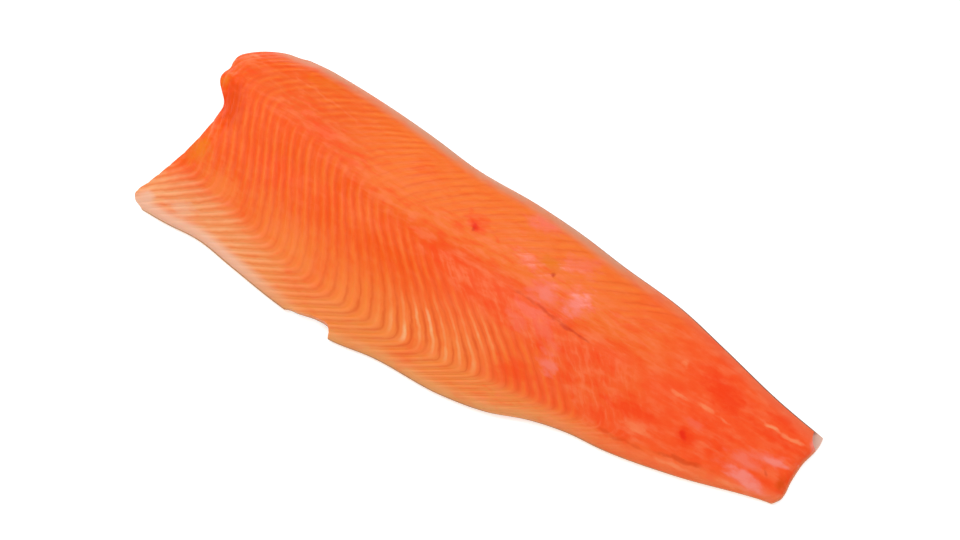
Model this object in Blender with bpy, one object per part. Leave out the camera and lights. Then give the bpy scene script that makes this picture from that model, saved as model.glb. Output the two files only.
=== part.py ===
# Raw salmon side, one solid, lying skin down: head end at -X, tail end at +X,
# back (thick) edge at +Y, belly (thin) edge at -Y, resting on Z = 0.
# The block of flesh is a loft whose sections follow the zigzag muscle bands,
# so that each band stands up as shallow relief. Knife cuts trim its two ends and
# leave a small step in the belly edge. Units are metres.

import math

import bmesh
import bpy
import numpy as np

# Whole fillet. The middle is that of the finished outline, and becomes the origin.
LENGTH = 0.560
MIDDLE_X = 0.2805
MIDDLE_Y = -0.0013

# Outline seen from above, before centring: distance from the head end, then Y.
BACK_EDGE = (
    (-0.12, 0.086),
    (0.00, 0.0920),
    (0.08, 0.0940),
    (0.13, 0.0917),
    (0.18, 0.0868),
    (0.22, 0.0812),
    (0.28, 0.0800),
    (0.32, 0.0767),
    (0.36, 0.0708),
    (0.42, 0.0632),
    (0.46, 0.0530),
    (0.52, 0.0371),
    (0.56, 0.0297),
    (0.68, 0.0240),
)
BELLY_EDGE = (
    (-0.12, -0.0800),
    (0.010, -0.0810),
    (0.035, -0.0815),
    (0.065, -0.0800),
    (0.100, -0.0855),
    (0.145, -0.0925),
    (0.200, -0.0965),
    (0.230, -0.0921),
    (0.295, -0.0903),
    (0.330, -0.0840),
    (0.360, -0.0732),
    (0.390, -0.0668),
    (0.420, -0.0645),
    (0.475, -0.0543),
    (0.545, -0.0358),
    (0.68, -0.0250),
)

# Knife line at the head, from outside the back edge, round the nape, to the belly tip.
HEAD_CUT = (
    (0.0750, 0.1100),
    (0.0580, 0.0935),
    (0.0400, 0.0885),
    (0.0260, 0.0815),
    (0.0165, 0.0742),
    (0.0104, 0.0672),
    (0.0088, 0.0605),
    (0.0100, 0.0535),
    (0.0080, 0.0475),
    (0.0082, 0.0420),
    (0.0118, 0.0362),
    (0.0190, 0.0295),
    (0.0230, 0.0235),
    (0.0238, 0.0160),
    (0.0215, -0.006),
    (0.0175, -0.026),
    (0.0120, -0.043),
    (0.0060, -0.060),
    (0.0020, -0.070),
    (0.0045, -0.0765),
    (0.0150, -0.0820),
    (0.0300, -0.1000),
)

# Small slip of the knife that left a step in the belly edge.
NICK_CUT = (
    (0.1480, -0.1050),
    (0.1550, -0.0930),
    (0.1660, -0.0905),
    (0.1780, -0.0878),
    (0.1885, -0.0874),
    (0.1925, -0.0900),
    (0.1955, -0.0960),
    (0.1965, -0.1050),
)

# Knife line at the tail, from outside the back edge to outside the belly edge.
TAIL_CUT = (
    (0.5560, 0.060),
    (0.5590, 0.030),
    (0.5585, 0.018),
    (0.5550, 0.004),
    (0.5540, -0.012),
    (0.5545, -0.024),
    (0.5510, -0.033),
    (0.5300, -0.060),
)
TAIL_CUT_SLANT = 0.35

# Thickness of the flesh along the fillet, at its ridge and at its belly edge.
RIDGE_HEIGHT = (
    (-0.12, 0.0200),
    (0.02, 0.0235),
    (0.08, 0.0270),
    (0.16, 0.0280),
    (0.25, 0.0265),
    (0.34, 0.0225),
    (0.44, 0.0160),
    (0.52, 0.0105),
    (0.56, 0.0085),
    (0.68, 0.0075),
)
BELLY_HEIGHT = (
    (-0.12, 0.0055),
    (0.20, 0.0065),
    (0.34, 0.0080),
    (0.46, 0.0070),
    (0.56, 0.0055),
    (0.68, 0.0050),
)

# Where the ridge runs, as a share of the way from the belly edge to the back edge.
RIDGE_SHARE_HEAD = 0.68
RIDGE_SHARE_TAIL = 0.56
# The belly flap starts hollow where the ribs lay, and full near the tail.
FLAP_POWER_HEAD = 1.45
FLAP_POWER_TAIL = 0.75

# Height of the outermost line of the rolled-up back edge and of the belly edge.
BACK_RIM = 0.32
BELLY_RIM = 0.45
BACK_UNDERCUT = 0.014
BELLY_UNDERCUT = 0.006
BELLY_ROUND = 0.005

# The cut ends are soft: their top edge is rounded over this width.
NAPE_ROUND = 0.018
NAPE_FLOOR = 0.55
TAIL_ROUND = 0.008
TAIL_FLOOR = 0.62

# Shallow groove along the line where the pin bones were.
MIDLINE_DEPTH = 0.0014
MIDLINE_WIDTH = 0.010

# Zigzag muscle bands. Each muscle line is named by the X of its bend near the belly edge, and
# these tables give, for that X, the distance to the next line, where the line's two bends lie
# across the fillet, how steeply its three strokes lean, and how much the long one curves.
BAND_START = -0.0305
BAND_END = 0.625
BAND_PITCH = (
    (-0.10, 0.0080),
    (0.02, 0.0086),
    (0.06, 0.0090),
    (0.11, 0.0092),
    (0.15, 0.0096),
    (0.19, 0.0114),
    (0.23, 0.0127),
    (0.28, 0.0121),
    (0.32, 0.0106),
    (0.37, 0.0098),
    (0.45, 0.0093),
    (0.58, 0.0085),
    (0.70, 0.0085),
)
BELLY_BEND = (
    (-0.10, -0.0260),
    (0.02, -0.0351),
    (0.075, -0.0455),
    (0.133, -0.0612),
    (0.177, -0.0690),
    (0.209, -0.0707),
    (0.25, -0.0712),
    (0.29, -0.0684),
    (0.33, -0.0625),
    (0.37, -0.0580),
    (0.43, -0.0492),
    (0.575, -0.0255),
    (0.70, -0.0165),
)
BACK_BEND = (
    (-0.10, 0.0580),
    (0.02, 0.0565),
    (0.10, 0.0460),
    (0.14, 0.0385),
    (0.18, 0.0305),
    (0.215, 0.0225),
    (0.265, 0.0155),
    (0.30, 0.0155),
    (0.33, 0.0160),
    (0.36, 0.0155),
    (0.46, 0.0100),
    (0.575, 0.0030),
    (0.70, 0.0010),
)
FLANK_SLOPE = (
    (-0.10, 0.28),
    (0.02, 0.25),
    (0.06, 0.22),
    (0.12, 0.25),
    (0.18, 0.24),
    (0.22, 0.37),
    (0.27, 0.62),
    (0.30, 0.77),
    (0.34, 0.99),
    (0.38, 0.98),
    (0.44, 0.80),
    (0.58, 0.78),
    (0.70, 0.75),
)
FLANK_CURL = (
    (-0.10, 2.0),
    (0.02, 3.0),
    (0.06, 8.0),
    (0.12, 10.0),
    (0.18, 13.5),
    (0.22, 15.0),
    (0.27, 14.7),
    (0.30, 15.2),
    (0.34, 11.0),
    (0.38, 8.0),
    (0.44, 9.0),
    (0.58, 5.0),
    (0.70, 3.0),
)
BACK_SLOPE = (
    (-0.10, 1.25),
    (0.02, 1.28),
    (0.09, 1.62),
    (0.14, 1.83),
    (0.18, 1.68),
    (0.25, 1.45),
    (0.32, 1.85),
    (0.42, 2.30),
    (0.50, 2.05),
    (0.70, 2.00),
)
BELLY_SLOPE = (
    (-0.10, 1.30),
    (0.02, 1.38),
    (0.08, 1.70),
    (0.13, 2.25),
    (0.20, 2.13),
    (0.30, 1.85),
    (0.38, 1.85),
    (0.60, 2.20),
    (0.70, 2.20),
)
CURL_REACH = 0.09
BELLY_BEND_ROUND = 0.0035
BACK_BEND_ROUND = 0.012
BAND_RELIEF = 0.0010

# How many rows of the loft cross each stroke of the zigzag, closer near the back edge.
RIM_ROWS = (0.0, 0.0012, 0.004)
FLAP_ROWS = 5
FLANK_ROWS = 8
BACK_ROWS = (0.22, 0.44, 0.62, 0.78, 0.89, 0.96, 1.0)

# Points in each stretch of a knife line.
CUT_STEPS = 5
KNIFE_HEIGHT = 0.06

FLESH_COLOUR = (0.87, 0.17, 0.035, 1.0)
FLESH_ROUGHNESS = 0.32


def along(x, table):
    """Smooth curve through a table's points, read at x."""
    places = np.array([row[0] for row in table])
    values = np.array([row[1] for row in table])
    slopes = np.gradient(values, places)
    index = int(np.clip(np.searchsorted(places, x) - 1, 0, len(places) - 2))
    gap = places[index + 1] - places[index]
    t = float(np.clip((x - places[index]) / gap, 0.0, 1.0))
    rise = values[index + 1] - values[index]
    ease = t * t * (3 - 2 * t)
    start = slopes[index] * gap * t * (1 - t) ** 2
    end = slopes[index + 1] * gap * t * t * (1 - t)
    return values[index] + rise * ease + start - end


def smooth_line(corners, steps):
    """Rounded line through the corners of a knife cut."""
    points = [np.array(corner) for corner in corners]
    line = []
    for index in range(len(points) - 1):
        before = points[max(index - 1, 0)]
        start = points[index]
        end = points[index + 1]
        after = points[min(index + 2, len(points) - 1)]
        for step in range(steps):
            t = step / steps
            line.append(
                0.5
                * (
                    2 * start
                    + (end - before) * t
                    + (2 * before - 5 * start + 4 * end - after) * t**2
                    + (3 * start - before - 3 * end + after) * t**3
                )
            )
    line.append(points[-1])
    return line


def depth_behind(x, y, line):
    """Distance from a cut line into the flesh on its left side, below zero on its other side."""
    starts = np.array(line[:-1])
    runs = np.array(line[1:]) - starts
    offsets = np.array((x, y)) - starts
    share = np.clip((offsets * runs).sum(axis=1) / (runs**2).sum(axis=1), 0.0, 1.0)
    gaps = offsets - runs * share[:, None]
    nearest = int(np.argmin((gaps**2).sum(axis=1)))
    run = runs[nearest]
    gap = gaps[nearest]
    side = math.copysign(1.0, run[0] * gap[1] - run[1] * gap[0])
    return side * float(np.linalg.norm(gap))


def end_round(depth, width, floor):
    """Share of its height that the flesh keeps near a cut end."""
    way = min(max(depth / width, -0.5), 1.0)
    return floor + (1 - floor) * math.sin(0.5 * math.pi * way)


def soft_ramp(value, radius):
    """Zero below zero and the value above it, with a rounded corner."""
    return 0.5 * (value + math.sqrt(value * value + radius * radius))


def band_x(line, y):
    """X of one muscle line where it crosses y."""
    low = along(line, BELLY_BEND)
    up = soft_ramp(y - low, BELLY_BEND_ROUND)
    down = soft_ramp(low - y, BELLY_BEND_ROUND)
    above = soft_ramp(y - along(line, BACK_BEND), BACK_BEND_ROUND)
    flank = along(line, FLANK_SLOPE)
    bow = CURL_REACH * math.tanh(up / CURL_REACH)
    x = line - flank * up - 0.5 * along(line, FLANK_CURL) * bow * bow
    return x - along(line, BELLY_SLOPE) * down + (along(line, BACK_SLOPE) + flank) * above


def edge_y(line, edge):
    """Y where a muscle line runs out at the back or belly edge, found by halving."""
    low = -0.13 if edge is BELLY_EDGE else 0.0
    high = 0.0 if edge is BELLY_EDGE else 0.13
    for _ in range(30):
        middle = 0.5 * (low + high)
        if middle < along(band_x(line, middle), edge):
            low = middle
        else:
            high = middle
    return 0.5 * (low + high)


def flesh_height(x, y, head_line, tail_line):
    """Height of the smooth flesh above the board, without the bands."""
    belly = along(x, BELLY_EDGE)
    back = along(x, BACK_EDGE)
    share = min(max((y - belly) / (back - belly), 0.0), 1.0)
    way = min(max(x / LENGTH, 0.0), 1.0)
    ridge = RIDGE_SHARE_HEAD + (RIDGE_SHARE_TAIL - RIDGE_SHARE_HEAD) * way
    top = along(x, RIDGE_HEIGHT)
    if share < ridge:
        power = FLAP_POWER_HEAD + (FLAP_POWER_TAIL - FLAP_POWER_HEAD) * way
        edge = along(x, BELLY_HEIGHT)
        height = edge + (top - edge) * math.sin(0.5 * math.pi * share / ridge) ** power
        inset = min((y - belly) / BELLY_ROUND, 1.0)
        rim = BELLY_RIM + (1 - BELLY_RIM) * math.sqrt(max(1 - (1 - inset) ** 2, 0.0))
        height *= rim
    else:
        fall = (share - ridge) / (1 - ridge)
        height = top * (BACK_RIM + (1 - BACK_RIM) * max(1 - fall**2.4, 0.0) ** 0.6)
    groove = math.exp(-(((y - 0.004) / MIDLINE_WIDTH) ** 2))
    height -= MIDLINE_DEPTH * groove * min(top / 0.03, 1.0)
    height *= end_round(depth_behind(x, y, head_line), NAPE_ROUND, NAPE_FLOOR)
    height *= end_round(depth_behind(x, y, tail_line), TAIL_ROUND, TAIL_FLOOR)
    return height


def relief_share(x, y, belly, back):
    """How strongly the bands stand out: fading at the back edge, along the loin and to the tail."""
    rim = min((back - y) / 0.016, 1.0) * min((y - belly) / 0.004, 1.0)
    tail = min(max((0.50 - x) / 0.12, 0.15), 1.0)
    loin = 1.0
    if x > 0.18:
        middle = math.exp(-(((y - 0.018) / 0.022) ** 2))
        loin = 1 - 0.85 * middle * min((x - 0.18) / 0.06, 1.0)
    return max(rim, 0.0) * tail * loin


def band_lines():
    """Muscle lines and the crests between them, from the head to the tail."""
    lines = [BAND_START]
    while lines[-1] < BAND_END:
        lines.append(lines[-1] + 0.5 * along(lines[-1], BAND_PITCH))
    return lines


def section(line, groove, head_line, tail_line):
    """Closed ring of points round the fillet along one muscle line."""
    belly = edge_y(line, BELLY_EDGE)
    back = edge_y(line, BACK_EDGE)
    low = along(line, BELLY_BEND)
    high = along(line, BACK_BEND)
    rows = [belly + inset for inset in RIM_ROWS]
    rows += [rows[-1] + (low - rows[-1]) * (n + 1) / FLAP_ROWS for n in range(FLAP_ROWS)]
    rows += [low + (high - low) * (n + 1) / FLANK_ROWS for n in range(FLANK_ROWS)]
    rows += [high + (back - high) * share for share in BACK_ROWS]
    ring = []
    for y in rows:
        x = band_x(line, y)
        height = flesh_height(x, y, head_line, tail_line)
        if groove:
            height -= BAND_RELIEF * relief_share(x, y, belly, back)
        ring.append((x, y, height))
    back_rim = ring[-1][2]
    belly_rim = ring[0][2]
    for degrees in (30, 60, 90):
        turn = math.radians(degrees)
        inset = BACK_UNDERCUT * (1 - math.cos(turn))
        ring.append((band_x(line, back - inset), back - inset, back_rim * (1 - math.sin(turn))))
    for degrees in (90, 45):
        turn = math.radians(degrees)
        inset = BELLY_UNDERCUT * (1 - math.cos(turn))
        ring.append((band_x(line, belly + inset), belly + inset, belly_rim * (1 - math.sin(turn))))
    return ring


def new_mesh(name, bm, collection, material=None):
    bmesh.ops.recalc_face_normals(bm, faces=bm.faces)
    mesh = bpy.data.meshes.new(name)
    bm.to_mesh(mesh)
    bm.free()
    obj = bpy.data.objects.new(name, mesh)
    collection.objects.link(obj)
    if material:
        mesh.materials.append(material)
    return obj


def new_collection(name):
    collection = bpy.data.collections.new(name)
    bpy.context.scene.collection.children.link(collection)
    return collection


def flesh_material():
    material = bpy.data.materials.new("salmon_flesh")
    material.use_nodes = True
    shader = material.node_tree.nodes["Principled BSDF"]
    shader.inputs["Base Color"].default_value = FLESH_COLOUR
    shader.inputs["Roughness"].default_value = FLESH_ROUGHNESS
    shader.inputs["Metallic"].default_value = 0.0
    return material


def make_flesh(collection, head_line, tail_line):
    """Loft the sections into one closed block, longer than the fillet at both ends."""
    bm = bmesh.new()
    rings = []
    for index, line in enumerate(band_lines()):
        points = section(line, index % 2 == 0, head_line, tail_line)
        rings.append([bm.verts.new((x - MIDDLE_X, y - MIDDLE_Y, z)) for x, y, z in points])
    for ring, following in zip(rings, rings[1:]):
        for a in range(len(ring)):
            b = (a + 1) % len(ring)
            bm.faces.new((ring[a], ring[b], following[b], following[a]))
    bm.faces.new(rings[0])
    bm.faces.new(rings[-1])
    return new_mesh("fillet", bm, collection, flesh_material())


def make_knife(name, line, far_corners, slant, collection):
    """Block of air that a knife cut takes away, between the cut line and the corners behind it."""
    bm = bmesh.new()
    corners = [(x, y) for x, y in line] + list(far_corners)
    low = [
        bm.verts.new((x - MIDDLE_X + slant * KNIFE_HEIGHT / 2, y - MIDDLE_Y, -KNIFE_HEIGHT / 2))
        for x, y in corners
    ]
    bottom = bm.faces.new(low)
    raised = bmesh.ops.extrude_face_region(bm, geom=[bottom])["geom"]
    top = [item for item in raised if isinstance(item, bmesh.types.BMVert)]
    bmesh.ops.translate(bm, verts=top, vec=(-slant * KNIFE_HEIGHT, 0, KNIFE_HEIGHT))
    knife = new_mesh(name, bm, collection)
    knife.hide_render = True
    knife.display_type = "WIRE"
    return knife


def cut(obj, knife):
    modifier = obj.modifiers.new(knife.name, "BOOLEAN")
    modifier.operation = "DIFFERENCE"
    modifier.solver = "EXACT"
    modifier.object = knife


def main():
    for obj in list(bpy.data.objects):
        bpy.data.objects.remove(obj)
    fish = new_collection("raw_salmon_fillet")
    knives = new_collection("knife_cuts")
    head_line = smooth_line(HEAD_CUT, CUT_STEPS)
    tail_line = smooth_line(reversed(TAIL_CUT), CUT_STEPS)
    nick_line = smooth_line(NICK_CUT, CUT_STEPS)
    fillet = make_flesh(fish, head_line, tail_line)
    head_air = ((-0.30, -0.12), (-0.30, 0.12))
    tail_air = ((0.80, 0.12), (0.80, -0.12))
    cut(fillet, make_knife("head_cut", head_line, head_air, 0.0, knives))
    cut(fillet, make_knife("tail_cut", tail_line, tail_air, TAIL_CUT_SLANT, knives))
    cut(fillet, make_knife("nick_cut", nick_line, (), 0.0, knives))
    fillet.data.shade_smooth()


main()
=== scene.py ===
import math

import bmesh
import bpy
import numpy as np
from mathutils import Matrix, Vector
from mathutils.kdtree import KDTree


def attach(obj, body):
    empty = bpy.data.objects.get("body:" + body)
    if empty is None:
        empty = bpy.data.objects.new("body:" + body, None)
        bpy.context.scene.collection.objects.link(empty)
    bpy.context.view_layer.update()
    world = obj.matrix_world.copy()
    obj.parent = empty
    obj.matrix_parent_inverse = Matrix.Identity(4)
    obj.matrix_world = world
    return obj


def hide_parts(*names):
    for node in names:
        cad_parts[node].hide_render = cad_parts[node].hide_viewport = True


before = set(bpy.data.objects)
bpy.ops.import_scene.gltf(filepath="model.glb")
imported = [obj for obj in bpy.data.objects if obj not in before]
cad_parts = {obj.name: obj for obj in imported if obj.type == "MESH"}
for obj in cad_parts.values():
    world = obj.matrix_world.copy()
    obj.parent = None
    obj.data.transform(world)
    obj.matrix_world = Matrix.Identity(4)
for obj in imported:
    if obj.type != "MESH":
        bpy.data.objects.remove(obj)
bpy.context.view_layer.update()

# Outline and thickness of the side, in metres from its head end, as the solid has them.
sideShape = {
    "middle": (0.2805, -0.0013),
    "length": 0.56,
    "backEdge": (
        (-0.12, 0.086), (0.0, 0.092), (0.08, 0.094), (0.13, 0.0917), (0.18, 0.0868), (0.22, 0.0812),
        (0.28, 0.08), (0.32, 0.0767), (0.36, 0.0708), (0.42, 0.0632), (0.46, 0.053), (0.52, 0.0371),
        (0.56, 0.0297), (0.68, 0.024),
    ),
    "bellyEdge": (
        (-0.12, -0.08), (0.01, -0.081), (0.035, -0.0815), (0.065, -0.08), (0.1, -0.0855),
        (0.145, -0.0925), (0.2, -0.0965), (0.23, -0.0921), (0.295, -0.0903), (0.33, -0.084),
        (0.36, -0.0732), (0.39, -0.0668), (0.42, -0.0645), (0.475, -0.0543), (0.545, -0.0358),
        (0.68, -0.025),
    ),
    "headCut": (
        (0.075, 0.11), (0.058, 0.0935), (0.04, 0.0885), (0.026, 0.0815), (0.0165, 0.0742),
        (0.0104, 0.0672), (0.0088, 0.0605), (0.01, 0.0535), (0.008, 0.0475), (0.0082, 0.042),
        (0.0118, 0.0362), (0.019, 0.0295), (0.023, 0.0235), (0.0238, 0.016),
        (0.0215, -0.006), (0.0175, -0.026), (0.012, -0.043), (0.006, -0.06), (0.002, -0.07),
        (0.0045, -0.0765), (0.015, -0.082), (0.03, -0.1),
    ),
    "nickCut": (
        (0.148, -0.105), (0.155, -0.093), (0.166, -0.0905), (0.178, -0.0878), (0.1885, -0.0874),
        (0.1925, -0.09), (0.1955, -0.096), (0.1965, -0.105),
    ),
    "tailCut": (
        (0.53, -0.06), (0.551, -0.033), (0.5545, -0.024), (0.554, -0.012), (0.555, 0.004),
        (0.5585, 0.018), (0.559, 0.03), (0.556, 0.06),
    ),
    "tailSlant": 0.35,
    "ridgeHeight": (
        (-0.12, 0.02), (0.02, 0.0235), (0.08, 0.027), (0.16, 0.028), (0.25, 0.0265), (0.34, 0.0225),
        (0.44, 0.016), (0.52, 0.0105), (0.56, 0.0085), (0.68, 0.0075),
    ),
    "bellyHeight": (
        (-0.12, 0.0055), (0.2, 0.0065), (0.34, 0.008), (0.46, 0.007), (0.56, 0.0055), (0.68, 0.005),
    ),
    "ridgeShare": (0.68, 0.56),  # head, tail
    "flapPower": (1.45, 0.75),  # hollow at the head, full at the tail
    "backRim": 0.32,
    "backFall": (2.4, 0.6),  # powers of the fall from the ridge to the back rim
    "bellyRim": 0.45,
    "backUndercut": 0.014,
    "bellyUndercut": 0.006,
    "bellyRound": 0.005,
    "napeRound": (0.018, 0.55),  # width, share of the height left at the cut
    "tailRound": (0.008, 0.62),
    "midline": (0.0014, 0.004, 0.01, 0.03),  # depth, place across, width, height where it is full
}
middleX, middleY = sideShape["middle"]

# The zigzag of the muscle bands. A muscle line is named by the x of its bend near the belly
# edge, and each table gives, for that x, one measure of the line.
bandShape = {
    "start": -0.0305,
    "end": 0.625,
    "pitch": (
        (-0.1, 0.008), (0.02, 0.0086), (0.06, 0.009), (0.11, 0.0092), (0.15, 0.0096),
        (0.19, 0.0114), (0.23, 0.0127), (0.28, 0.0121), (0.32, 0.0106), (0.37, 0.0098),
        (0.45, 0.0093), (0.58, 0.0085), (0.7, 0.0085),
    ),
    "bellyBend": (
        (-0.1, -0.026), (0.02, -0.0351), (0.075, -0.0455), (0.133, -0.0612), (0.177, -0.069),
        (0.209, -0.0707), (0.25, -0.0712), (0.29, -0.0684), (0.33, -0.0625), (0.37, -0.058),
        (0.43, -0.0492), (0.575, -0.0255), (0.7, -0.0165),
    ),
    "backBend": (
        (-0.1, 0.058), (0.02, 0.0565), (0.1, 0.046), (0.14, 0.0385), (0.18, 0.0305),
        (0.215, 0.0225), (0.265, 0.0155), (0.3, 0.0155), (0.33, 0.016), (0.36, 0.0155),
        (0.46, 0.01), (0.575, 0.003), (0.7, 0.001),
    ),
    "flankSlope": (
        (-0.1, 0.28), (0.02, 0.25), (0.06, 0.22), (0.12, 0.25), (0.18, 0.24), (0.22, 0.37),
        (0.27, 0.62), (0.3, 0.77), (0.34, 0.99), (0.38, 0.98), (0.44, 0.8), (0.58, 0.78),
        (0.7, 0.75),
    ),
    "flankCurl": (
        (-0.1, 2.0), (0.02, 3.0), (0.06, 8.0), (0.12, 10.0), (0.18, 13.5), (0.22, 15.0),
        (0.27, 14.7), (0.3, 15.2), (0.34, 11.0), (0.38, 8.0), (0.44, 9.0), (0.58, 5.0),
        (0.7, 3.0),
    ),
    "backSlope": (
        (-0.1, 1.25), (0.02, 1.28), (0.09, 1.62), (0.14, 1.83), (0.18, 1.68), (0.25, 1.45),
        (0.32, 1.85), (0.42, 2.3), (0.5, 2.05), (0.7, 2.0),
    ),
    "bellySlope": (
        (-0.1, 1.3), (0.02, 1.38), (0.08, 1.7), (0.13, 2.25), (0.2, 2.13), (0.3, 1.85),
        (0.38, 1.85), (0.6, 2.2), (0.7, 2.2),
    ),
    "curlReach": 0.09,
    "searchFrom": -0.16,  # muscle lines are looked for between these
    "searchTo": 0.76,
    "bellyRound": 0.0035,
    "backRound": 0.012,
    "columnsPerBand": 10,
    "flapRows": 20,
    "flankRows": 44,
    "backRows": 30,
}


# Reading the shape

def readCurve(table, x):
    x = np.asarray(x, float)
    places = np.array([row[0] for row in table])
    values = np.array([row[1] for row in table])
    slopes = np.gradient(values, places)
    index = np.clip(np.searchsorted(places, x) - 1, 0, len(places) - 2)
    gap = places[index + 1] - places[index]
    t = np.clip((x - places[index]) / gap, 0.0, 1.0)
    rise = values[index + 1] - values[index]
    bend = slopes[index] * gap * t * (1 - t) ** 2 - slopes[index + 1] * gap * t * t * (1 - t)
    return values[index] + rise * t * t * (3 - 2 * t) + bend


def smoothLine(corners, steps=8):
    points = np.array(corners)
    before = np.vstack([points[:1], points[:-2]])
    after = np.vstack([points[2:], points[-1:]])
    starts = points[:-1]
    ends = points[1:]
    line = []
    for step in range(steps):
        t = step / steps
        line.append(0.5 * (
            2 * starts
            + (ends - before) * t
            + (2 * before - 5 * starts + 4 * ends - after) * t**2
            + (3 * starts - before - 3 * ends + after) * t**3
        ))
    return np.vstack([np.stack(line, 1).reshape(-1, 2), points[-1:]])


def depthBehind(x, y, line):  # distance into the flesh, on the left of a cut line
    best = np.full(x.shape, 1e9)
    side = np.ones(x.shape)
    for start, end in zip(line[:-1], line[1:]):
        run = end - start
        dx = x - start[0]
        dy = y - start[1]
        share = np.clip((dx * run[0] + dy * run[1]) / (run @ run), 0.0, 1.0)
        gx = dx - run[0] * share
        gy = dy - run[1] * share
        gap = np.hypot(gx, gy)
        nearer = gap < best
        best = np.where(nearer, gap, best)
        side = np.where(nearer, np.sign(run[0] * gy - run[1] * gx), side)
    return best * np.where(side < 0, -1.0, 1.0)


def softRamp(value, radius):
    return 0.5 * (value + np.sqrt(value * value + radius * radius))


def smoothStep(value, low, high):
    t = np.clip((value - low) / (high - low), 0.0, 1.0)
    return t * t * (3 - 2 * t)


def bell(value, centre, width):
    return np.exp(-(((value - centre) / width) ** 2))


def between(pair, share):
    return pair[0] + (pair[1] - pair[0]) * share


def edgesAt(x):  # y of the belly edge and of the back edge
    return readCurve(sideShape["bellyEdge"], x), readCurve(sideShape["backEdge"], x)


def bandX(line, y):
    low = readCurve(bandShape["bellyBend"], line)
    up = softRamp(y - low, bandShape["bellyRound"])
    down = softRamp(low - y, bandShape["bellyRound"])
    above = softRamp(y - readCurve(bandShape["backBend"], line), bandShape["backRound"])
    flank = readCurve(bandShape["flankSlope"], line)
    bow = bandShape["curlReach"] * np.tanh(up / bandShape["curlReach"])
    x = line - flank * up - 0.5 * readCurve(bandShape["flankCurl"], line) * bow * bow
    back = readCurve(bandShape["backSlope"], line) + flank
    return x - readCurve(bandShape["bellySlope"], line) * down + back * above


def halve(isBelow, low, high, steps):  # closes in on where the answer changes
    for _ in range(steps):
        middle = 0.5 * (low + high)
        below = isBelow(middle)
        low = np.where(below, middle, low)
        high = np.where(below, high, middle)
    return 0.5 * (low + high)


def bandLineAt(x, y):  # the muscle line through a point
    low = np.full(x.shape, bandShape["searchFrom"])
    high = np.full(x.shape, bandShape["searchTo"])
    return halve(lambda line: bandX(line, y) < x, low, high, 30)


def edgeY(line, edge, low, high):  # where a muscle line runs out at an edge
    low = np.full(line.shape, low)
    high = np.full(line.shape, high)
    return halve(lambda y: y < readCurve(edge, bandX(line, y)), low, high, 34)


def endRound(depth, rule):
    width, floor = rule
    return floor + (1 - floor) * np.sin(0.5 * math.pi * np.clip(depth / width, -0.5, 1.0))


headLine = smoothLine(sideShape["headCut"])
tailLine = smoothLine(sideShape["tailCut"])
nickLine = smoothLine(sideShape["nickCut"])


def fleshHeight(x, y):
    shape = sideShape
    belly, back = edgesAt(x)
    share = np.clip((y - belly) / (back - belly), 0.0, 1.0)
    way = np.clip(x / shape["length"], 0.0, 1.0)
    ridge = between(shape["ridgeShare"], way)
    power = between(shape["flapPower"], way)
    top = readCurve(shape["ridgeHeight"], x)
    edge = readCurve(shape["bellyHeight"], x)
    climb = np.sin(0.5 * math.pi * np.clip(share / ridge, 0.0, 1.0)) ** power
    inset = np.clip((y - belly) / shape["bellyRound"], 0.0, 1.0)
    rim = shape["bellyRim"] + (1 - shape["bellyRim"]) * np.sqrt(1 - (1 - inset) ** 2)
    flap = (edge + (top - edge) * climb) * rim
    fall = np.clip((share - ridge) / (1 - ridge), 0.0, 1.0)
    near, far = shape["backFall"]
    loin = top * (shape["backRim"] + (1 - shape["backRim"]) * (1 - fall**near) ** far)
    height = np.where(share < ridge, flap, loin)
    depth, place, width, fullHeight = shape["midline"]
    height = height - depth * bell(y, place, width) * np.clip(top / fullHeight, 0.0, 1.0)
    height = height * endRound(depthBehind(x, y, headLine), shape["napeRound"])
    return height * endRound(depthBehind(x, y, tailLine), shape["tailRound"])


def edgeWall(edge, undercut, low, top, turn):  # y and z down a side wall that rounds under
    return edge - undercut * (1 - math.cos(turn)), low + (top - low) * (1 - math.sin(turn))


def toFrame(points):  # from places off the head end to the model's frame
    points[..., 0] -= middleX
    points[..., 1] -= middleY
    return points


# Bands counted along the fish, so that every whole number is one fat line.
bandPlaces = np.linspace(bandShape["start"], bandShape["end"], 4000)
bandRate = 1 / readCurve(bandShape["pitch"], bandPlaces)
bandSteps = 0.5 * (bandRate[1:] + bandRate[:-1]) * np.diff(bandPlaces)
bandCounts = np.concatenate([[0.0], np.cumsum(bandSteps)])


# Mesh helpers

def meshFromArrays(name, points, faces):
    mesh = bpy.data.meshes.new(name)
    mesh.vertices.add(len(points))
    mesh.vertices.foreach_set("co", np.asarray(points, np.float32).ravel())
    sizes = np.array([len(face) for face in faces], np.int32)
    mesh.loops.add(int(sizes.sum()))
    mesh.loops.foreach_set("vertex_index", np.concatenate(faces).astype(np.int32))
    mesh.polygons.add(len(faces))
    starts = np.concatenate([[0], np.cumsum(sizes)[:-1]]).astype(np.int32)
    mesh.polygons.foreach_set("loop_start", starts)
    mesh.update(calc_edges=True)
    mesh.validate()
    return mesh


def addObject(name, mesh):
    piece = bpy.data.objects.new(name, mesh)
    bpy.context.scene.collection.objects.link(piece)
    return piece


def loftMesh(name, rings):  # rings is sections x points x 3, each section one closed ring
    count, around = rings.shape[:2]
    ids = np.arange(count * around).reshape(count, around)
    a = ids[:-1]
    b = np.roll(ids, -1, 1)[:-1]
    c = np.roll(ids, -1, 1)[1:]
    d = ids[1:]
    quads = np.stack([a, b, c, d], -1).reshape(-1, 4)
    faces = list(quads) + [ids[0][::-1], ids[-1]]
    mesh = meshFromArrays(name, rings.reshape(-1, 3), faces)
    flat = bmesh.new()
    flat.from_mesh(mesh)
    bmesh.ops.recalc_face_normals(flat, faces=flat.faces)
    flat.to_mesh(mesh)
    flat.free()
    return mesh


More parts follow.
